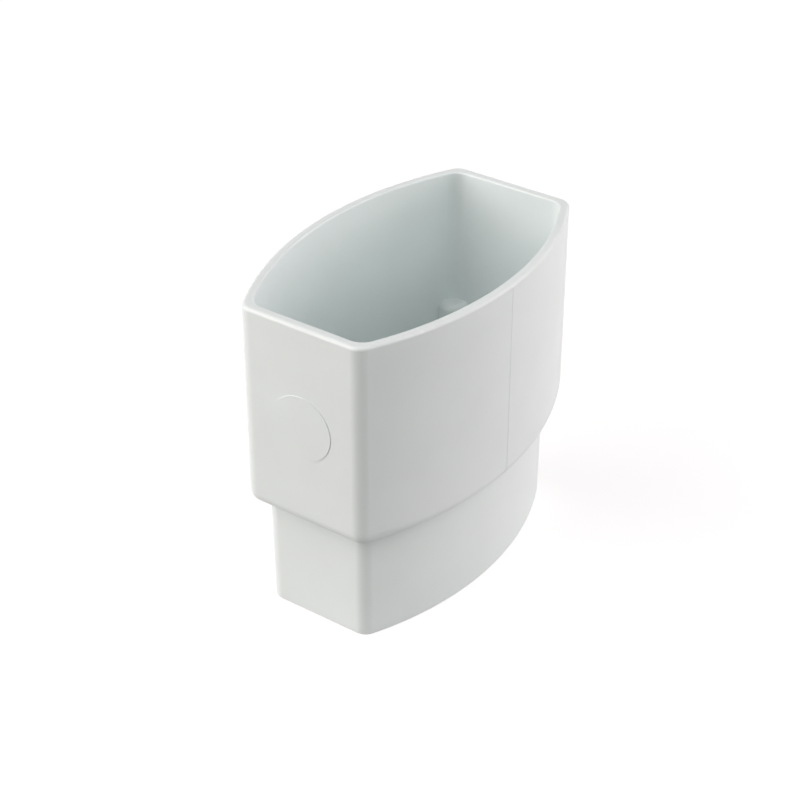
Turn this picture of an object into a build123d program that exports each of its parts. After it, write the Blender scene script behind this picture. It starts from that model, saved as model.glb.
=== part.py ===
"""Downspout connector: a one-piece moulded coupler for bowed rectangular rainwater pipe.

A socket at the top takes the end of the upper pipe, and a narrower spigot at the bottom
slips inside the lower pipe, so that water never meets an edge that faces up.
Millimetres. The origin is at the middle of the spigot's lower end, +X along the pipe's
long side, +Z up and out of the socket's mouth.
"""

import os
from math import sqrt

from build123d import *

# The pipe: flat ends, bowed sides, measured outside
pipe_length = 90.0
pipe_width = 56.0
pipe_bow_radius = 94.8
pipe_wall = 1.3

# Room left on each side of the pipe, in the socket and round the spigot
socket_play = 0.3
spigot_end_play = 0.2
spigot_side_play = 0.6

# The moulding's walls: the socket's ends and sides, then its floor and the spigot
end_wall = 2.9
side_wall = 2.5
wall = 2.7

# Heights, from the spigot's lower end, and the spigot's taper on each side
spigot_length = 32.9
socket_height = 59.5
spigot_taper = 0.28

# Upright corners of each outline
socket_outer_corner = 4.2
socket_inner_corner = 4.8
spigot_outer_corner = 4.2
spigot_inner_corner = 2.5

# Rounded edges
rim_outer_round = 1.0
rim_inner_round = 0.6
shoulder_bend = 3.9
floor_fillet = 1.2
spigot_end_round = 0.5
bore_end_round = 0.4
edge_margin = 0.1

# Round bosses in the socket's corners, with a rounded top edge, on which the pipe's end lands
stop_radius = 5.4
stop_round = 2.2
stop_height = 16.4

# Groove that the mould's halves leave down the middle of each bowed side
parting_width = 0.3
parting_depth = 0.05

# Plain raised disc on one flat end of the socket, and how far its centre is above the shoulder
mark_diameter = 18.4
mark_height = 0.15
mark_rise = 30.2

# Heights that follow from those above
socket_floor = spigot_length + wall
total_height = spigot_length + socket_height


class Outline:
    """A bowed rectangle: flat ends across X, a circular arc along each long side."""

    def __init__(self, half_length, half_width, bow_radius, corner_radius):
        self.half_length = half_length
        self.half_width = half_width
        self.bow_radius = bow_radius
        self.corner_radius = corner_radius

    def grown(self, amount, corner_radius):
        """The parallel outline, outside this one by amount."""
        return Outline(
            self.half_length + amount,
            self.half_width + amount,
            self.bow_radius + amount,
            corner_radius,
        )

    def bow_centre(self):
        """How far past the middle line each bowed side has its centre."""
        return self.bow_radius - self.half_width

    def corner_centre(self):
        """Centre of the rounded corner in the +X +Y quarter."""
        x = self.half_length - self.corner_radius
        reach = self.bow_radius - self.corner_radius
        return x, sqrt(reach**2 - x**2) - self.bow_centre()

    def face(self, height):
        """The outline as a face at that height."""
        bow = self.bow_centre()
        sides = Pos(0, -bow) * Circle(self.bow_radius) & Pos(0, bow) * Circle(self.bow_radius)
        cut = sides & Rectangle(2 * self.half_length, 2 * self.half_width)
        return Pos(0, 0, height) * fillet(cut.vertices(), self.corner_radius)

    def prism(self, low, high):
        """The outline carried straight up from one height to another."""
        return extrude(self.face(low), amount=high - low, dir=(0, 0, 1))


socket_inside = Outline(
    pipe_length / 2 + socket_play,
    pipe_width / 2 + socket_play,
    pipe_bow_radius + socket_play,
    socket_inner_corner,
)
socket_outside = Outline(
    socket_inside.half_length + end_wall,
    socket_inside.half_width + side_wall,
    socket_inside.bow_radius + side_wall,
    socket_outer_corner,
)
spigot_outside = Outline(
    pipe_length / 2 - pipe_wall - spigot_end_play,
    pipe_width / 2 - pipe_wall - spigot_side_play,
    pipe_bow_radius - pipe_wall - spigot_side_play,
    spigot_outer_corner,
)
spigot_tip = spigot_outside.grown(-spigot_taper, spigot_outer_corner)
spigot_inside = spigot_outside.grown(-wall, spigot_inner_corner)


def edges_at(shape, height):
    """Every edge of a shape that lies flat at that height."""
    return shape.edges().filter_by_position(Axis.Z, height, height)


def opening_edges(shape, height):
    """The edges round the opening in the flat face at that height."""
    face = shape.faces().filter_by_position(Axis.Z, height, height).sort_by(SortBy.AREA)[-1]
    return face.inner_wires()[0].edges()


def shoulder_bend_radius():
    """The bend under the socket, as large as the shoulder and the upright corners have room for."""
    shoulder_width = socket_outside.half_length - spigot_outside.half_length
    return min(shoulder_bend, shoulder_width - edge_margin, socket_outer_corner - edge_margin)


def socket_block():
    """The socket's outside, still solid, with its lip and the bend of its shoulder rounded."""
    block = socket_outside.prism(spigot_length, total_height)
    block = fillet(edges_at(block, spigot_length), shoulder_bend_radius())
    return fillet(edges_at(block, total_height), rim_outer_round)


def spigot_block():
    """The spigot's outside, still solid: it tapers towards a slightly rounded end."""
    block = loft([spigot_tip.face(0), spigot_outside.face(socket_floor)])
    return fillet(edges_at(block, 0), spigot_end_round)


def corner_stops():
    """A boss in each corner of the socket, centred where its walls would meet if the corner were sharp."""
    x, y = socket_inside.grown(0, 0).corner_centre()
    top = wall + stop_height
    boss = extrude(Circle(stop_radius), amount=top, dir=(0, 0, 1))
    boss = fillet(edges_at(boss, top), stop_round)
    base = socket_floor - wall
    return [Pos(side_x * x, side_y * y, base) * boss for side_x in (-1, 1) for side_y in (-1, 1)]


def socket_cavity():
    """The space the pipe fills, less the stops, with a rounded foot to its walls."""
    space = socket_inside.prism(socket_floor, total_height)
    space = fillet(edges_at(space, socket_floor), floor_fillet)
    for stop in corner_stops():
        space -= stop
    return space


def mark_disc():
    """The raised disc on the flat end at -X, rooted in the wall."""
    centre = (-socket_outside.half_length + end_wall / 2, 0, spigot_length + mark_rise)
    base = Plane(origin=centre, z_dir=(-1, 0, 0))
    return extrude(base * Circle(mark_diameter / 2), amount=end_wall / 2 + mark_height)


def parting_grooves():
    """A fine groove down each bowed side, from the lip round the bend of the shoulder."""
    bend = shoulder_bend_radius()
    outer = socket_outside.half_width
    low, high = spigot_length + bend, total_height - rim_outer_round
    depth = parting_depth
    wall_part = Pos(-outer + depth / 2, (low + high) / 2) * Rectangle(depth, high - low)
    ring = Circle(bend) - Circle(bend - depth)
    corner = Pos(-bend / 2, -bend / 2) * Rectangle(bend, bend)
    bend_part = Pos(bend - outer, low) * (ring & corner)
    strip = Plane.YZ * (wall_part + bend_part)
    groove = extrude(strip, amount=parting_width / 2, dir=(1, 0, 0), both=True)
    return [groove, mirror(groove, about=Plane.XZ)]


def connector():
    """The whole moulding, open right through."""
    body = socket_block() + spigot_block() + mark_disc()
    body -= socket_cavity()
    body -= spigot_inside.prism(0, total_height)
    for groove in parting_grooves():
        body -= groove
    body = fillet(opening_edges(body, total_height), rim_inner_round)
    return fillet(opening_edges(body, 0), bore_end_round)


os.makedirs("parts", exist_ok=True)
export_step(connector(), "parts/connector_body.step")
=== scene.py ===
"""Downspout connector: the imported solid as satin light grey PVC, on a pale studio floor."""

from math import cos, radians, sin

import bpy
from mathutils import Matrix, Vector

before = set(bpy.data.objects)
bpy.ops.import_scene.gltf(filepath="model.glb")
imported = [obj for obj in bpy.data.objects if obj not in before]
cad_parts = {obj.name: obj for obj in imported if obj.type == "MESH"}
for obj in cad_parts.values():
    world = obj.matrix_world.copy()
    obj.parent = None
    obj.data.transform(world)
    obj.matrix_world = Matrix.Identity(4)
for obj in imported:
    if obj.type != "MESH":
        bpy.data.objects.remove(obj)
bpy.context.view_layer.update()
scene = bpy.context.scene
scene.view_settings.view_transform = "Standard"

# Camera: where it is in metres, how far it is turned from +Y and looks down in degrees,
# its sensor and lens in millimetres, and the nearest thing it sees in metres
camera_place = (-0.3631, -0.25514, 0.33113)
camera_turn = -54.476
camera_tilt = 32.682
camera_sensor = 36
camera_lens = 87.441
camera_nearest = 0.01

# Lamps: the point they face and how far from it they are, in metres
lamp_aim = Vector((0, 0, 0.045))
lamp_distance = 1.0

# Each lamp: degrees round from the camera (right is positive), degrees up,
# width and height in metres, watts, colour
lamps = [
    ("left_low", -84, 13, 1.2, 0.42, 4.2, (1.0, 0.89, 0.78)),
    ("left_high", -80, 36, 1.2, 1.0, 8.7, (1.0, 0.935, 0.955)),
    ("left_front", -45, 45, 0.7, 0.7, 1.7, (1.0, 0.86, 0.83)),
    ("right_low", 93, 13, 1.1, 0.42, 5.4, (1.0, 0.875, 0.865)),
    ("right_high", 84, 45, 1.0, 1.0, 2.6, (0.98, 0.92, 0.98)),
    ("right_front", 55, 45, 0.7, 0.7, 2.9, (1.0, 0.96, 0.92)),
    ("right_back", 162, 10, 0.8, 0.35, 2.0, (1.0, 0.92, 0.91)),
]

# Plastic: its colour and gloss, and how far each strays from place to place
plastic_colour = (0.775, 0.862, 0.856)
colour_stray = 0.015
plastic_roughness = 0.38
roughness_stray = 0.02
plastic_ior = 1.5

# Its slow waves and its fine grain: how deep they are, in metres
wave_depth = 0.00002
grain_depth = 0.000004

# How many features each noise has to a metre, and the part of its range that it mostly keeps to
cloud_scale = 55
gloss_scale = 140
wave_scale = 90
grain_scale = 3500
fibre_scale = 300
noise_low = 0.3
noise_high = 0.7

# Floor: half its width in metres, its own reflectance close to the object and further out,
# how far that strays, and how far from the middle the one ends and the other starts
floor_half = 6.0
floor_near = 0.42
floor_far = 0.20
floor_stray = 0.01
near_reach = 0.085
far_reach = 0.14

# What the floor adds where the camera or a reflection sees it, which grows to white further out,
# and how much less it adds close to the object, to keep the shadow
floor_glow = 0.85
white_glow = 1.0
glow_start = 0.3
glow_end = 1.5
near_dim = 0.16


def new_camera():
    """The photograph's camera."""
    camera = bpy.data.objects.new("camera", bpy.data.cameras.new("camera"))
    scene.collection.objects.link(camera)
    camera.location = camera_place
    camera.rotation_euler = (radians(90 - camera_tilt), 0, radians(camera_turn))
    camera.data.sensor_width = camera_sensor
    camera.data.lens = camera_lens
    camera.data.clip_start = camera_nearest
    scene.camera = camera


def new_lamp(name, turn, height, width, tall, watts, colour):
    """A soft box, turned to face the object."""
    data = bpy.data.lights.new(name, "AREA")
    data.shape = "RECTANGLE"
    data.size = width
    data.size_y = tall
    data.energy = watts
    data.color = colour
    lamp = bpy.data.objects.new(name, data)
    scene.collection.objects.link(lamp)
    around = radians(camera_turn - 90 + turn)
    up = radians(height)
    towards = Vector((cos(around) * cos(up), sin(around) * cos(up), sin(up)))
    lamp.location = lamp_aim + towards * lamp_distance
    lamp.rotation_euler = towards.to_track_quat("Z", "Y").to_euler()
    lamp.visible_camera = False


class Nodes:
    """Short forms for building a material's nodes."""

    def __init__(self, name):
        self.material = bpy.data.materials.new(name)
        self.material.use_nodes = True
        self.tree = self.material.node_tree
        self.shader = self.tree.nodes["Principled BSDF"]

    def add(self, kind, **values):
        """A new node, with its own settings."""
        node = self.tree.nodes.new(kind)
        for key, value in values.items():
            setattr(node, key, value)
        return node

    def link(self, output, socket):
        """Joins an output to an input."""
        self.tree.links.new(output, socket)

    def maths(self, operation, first, second):
        """Two values brought together."""
        node = self.add("ShaderNodeMath", operation=operation)
        self.link(first, node.inputs[0])
        self.link(second, node.inputs[1])
        return node.outputs[0]

    def noise(self, where, scale, detail):
        """Soft noise, from 0 to 1."""
        node = self.add("ShaderNodeTexNoise")
        node.inputs["Scale"].default_value = scale
        node.inputs["Detail"].default_value = detail
        self.link(where, node.inputs["Vector"])
        return node.outputs["Fac"]

    def ramp(self, value, start, end, low, high):
        """A value from start to end, brought to the range from low to high."""
        node = self.add("ShaderNodeMapRange")
        node.inputs["From Min"].default_value = start
        node.inputs["From Max"].default_value = end
        node.inputs["To Min"].default_value = low
        node.inputs["To Max"].default_value = high
        self.link(value, node.inputs["Value"])
        return node.outputs["Result"]

    def spread(self, noise, low, high):
        """Noise brought to a range."""
        return self.ramp(noise, noise_low, noise_high, low, high)

    def bump(self, height, depth):
        """A bump of that depth in metres, on the plain surface until its Normal is linked."""
        node = self.add("ShaderNodeBump")
        node.inputs["Distance"].default_value = depth
        self.link(height, node.inputs["Height"])
        return node


def shade(factor):
    """The plastic's colour, made lighter or darker."""
    return (*[c * factor for c in plastic_colour], 1)


def pvc():
    """Satin moulded PVC: slightly clouded in colour and gloss, with slow waves and a fine grain."""
    n = Nodes("satin_pvc")
    place = n.add("ShaderNodeTexCoord").outputs["Object"]

    tint = n.add("ShaderNodeMix", data_type="RGBA")
    tint.inputs["A"].default_value = shade(1 - colour_stray)
    tint.inputs["B"].default_value = shade(1 + colour_stray)
    n.link(n.spread(n.noise(place, cloud_scale, 3), 0, 1), tint.inputs["Factor"])
    n.link(tint.outputs["Result"], n.shader.inputs["Base Color"])

    low, high = plastic_roughness - roughness_stray, plastic_roughness + roughness_stray
    gloss = n.spread(n.noise(place, gloss_scale, 2), low, high)
    n.link(gloss, n.shader.inputs["Roughness"])
    n.shader.inputs["IOR"].default_value = plastic_ior

    waves = n.bump(n.noise(place, wave_scale, 1), wave_depth)
    grain = n.bump(n.noise(place, grain_scale, 2), grain_depth)
    n.link(waves.outputs["Normal"], grain.inputs["Normal"])
    n.link(grain.outputs["Normal"], n.shader.inputs["Normal"])
    return n.material


def paper():
    """Pale floor: it looks white to the camera and in reflections, and keeps the shadow."""
    n = Nodes("paper")
    n.tree.nodes.remove(n.shader)
    place = n.add("ShaderNodeTexCoord").outputs["Object"]
    reach = n.add("ShaderNodeVectorMath", operation="LENGTH")
    n.link(place, reach.inputs[0])
    away = reach.outputs["Value"]

    grey = n.ramp(away, near_reach, far_reach, floor_near, floor_far)
    fibre = n.spread(n.noise(place, fibre_scale, 3), -floor_stray, floor_stray)
    sheet = n.add("ShaderNodeBsdfDiffuse")
    n.link(n.maths("ADD", grey, fibre), sheet.inputs["Color"])

    path = n.add("ShaderNodeLightPath").outputs
    seen = n.maths("MAXIMUM", path["Is Camera Ray"], path["Is Glossy Ray"])
    seen = n.maths("MAXIMUM", seen, path["Is Transmission Ray"])
    wide = n.ramp(away, glow_start, glow_end, floor_glow, white_glow)
    close = n.ramp(away, near_reach, far_reach, -near_dim, 0)
    glow = n.add("ShaderNodeEmission")
    n.link(n.maths("MULTIPLY", seen, n.maths("ADD", wide, close)), glow.inputs["Strength"])

    both = n.add("ShaderNodeAddShader")
    n.link(sheet.outputs[0], both.inputs[0])
    n.link(glow.outputs[0], both.inputs[1])
    n.link(both.outputs[0], n.tree.nodes["Material Output"].inputs["Surface"])
    return n.material


def new_floor():
    """A wide flat floor under the spigot's end."""
    mesh = bpy.data.meshes.new("floor")
    sides = ((-1, -1), (1, -1), (1, 1), (-1, 1))
    corners = [(x * floor_half, y * floor_half, 0) for x, y in sides]
    mesh.from_pydata(corners, [], [(0, 1, 2, 3)])
    mesh.materials.append(paper())
    floor = bpy.data.objects.new("floor", mesh)
    scene.collection.objects.link(floor)


def white_world():
    """White behind the floor for the camera, and no light from it."""
    world = bpy.data.worlds.new("studio")
    world.use_nodes = True
    scene.world = world
    tree = world.node_tree
    path = tree.nodes.new("ShaderNodeLightPath")
    seen = tree.nodes.new("ShaderNodeMath")
    seen.operation = "MAXIMUM"
    back = tree.nodes["Background"]
    back.inputs["Color"].default_value = (1, 1, 1, 1)
    tree.links.new(path.outputs["Is Camera Ray"], seen.inputs[0])
    tree.links.new(path.outputs["Is Transmission Ray"], seen.inputs[1])
    tree.links.new(seen.outputs[0], back.inputs["Strength"])


new_camera()
for lamp in lamps:
    new_lamp(*lamp)
new_floor()
white_world()
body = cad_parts["connector_body"]
body.material_slots[0].material = pvc()
